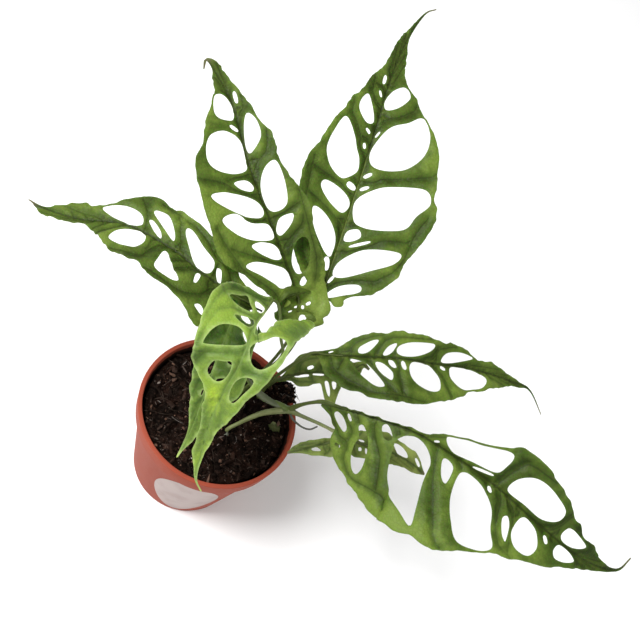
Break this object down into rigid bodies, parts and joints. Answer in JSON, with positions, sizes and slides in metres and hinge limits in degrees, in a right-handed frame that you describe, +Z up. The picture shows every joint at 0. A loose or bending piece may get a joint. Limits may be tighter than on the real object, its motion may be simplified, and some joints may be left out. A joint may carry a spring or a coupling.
{
  "type": "potted monstera obliqua",
  "caption": "Young Monstera obliqua with thin, heavily pierced leaves on long stalks, rooted in soil in a small tapered plastic nursery pot.",
  "frame": {"origin": "centre of the pot's flat underside", "axes": "+Z up along the pot's axis, -Y towards the front of the plant, +X to the viewer's right"},
  "size_m": [0.4916, 0.3907, 0.2765],
  "materials": {
    "plastic": "satin terracotta-coloured plastic, thin and slightly translucent",
    "soil": "moist dark potting mix with fine roots and pale specks",
    "stem": "smooth olive green stem",
    "leaf": "thin satin leaf, mid to dark green",
    "young_leaf": "thin satin leaf, bright yellow-green"
  },
  "bodies": {
    "root": {"pot": "plastic", "soil": "soil", "vine": "stem", "leaf_tall_right": "leaf", "leaf_tall_middle": "leaf", "leaf_far_left": "leaf", "leaf_arching": "young_leaf", "leaf_under_arch": "young_leaf", "leaf_low_right": "leaf", "leaf_rim": "leaf", "leaf_long_right": "leaf", "leaf_small_left": "leaf", "leaf_small_right": "leaf"}
  },
  "joints": []
}
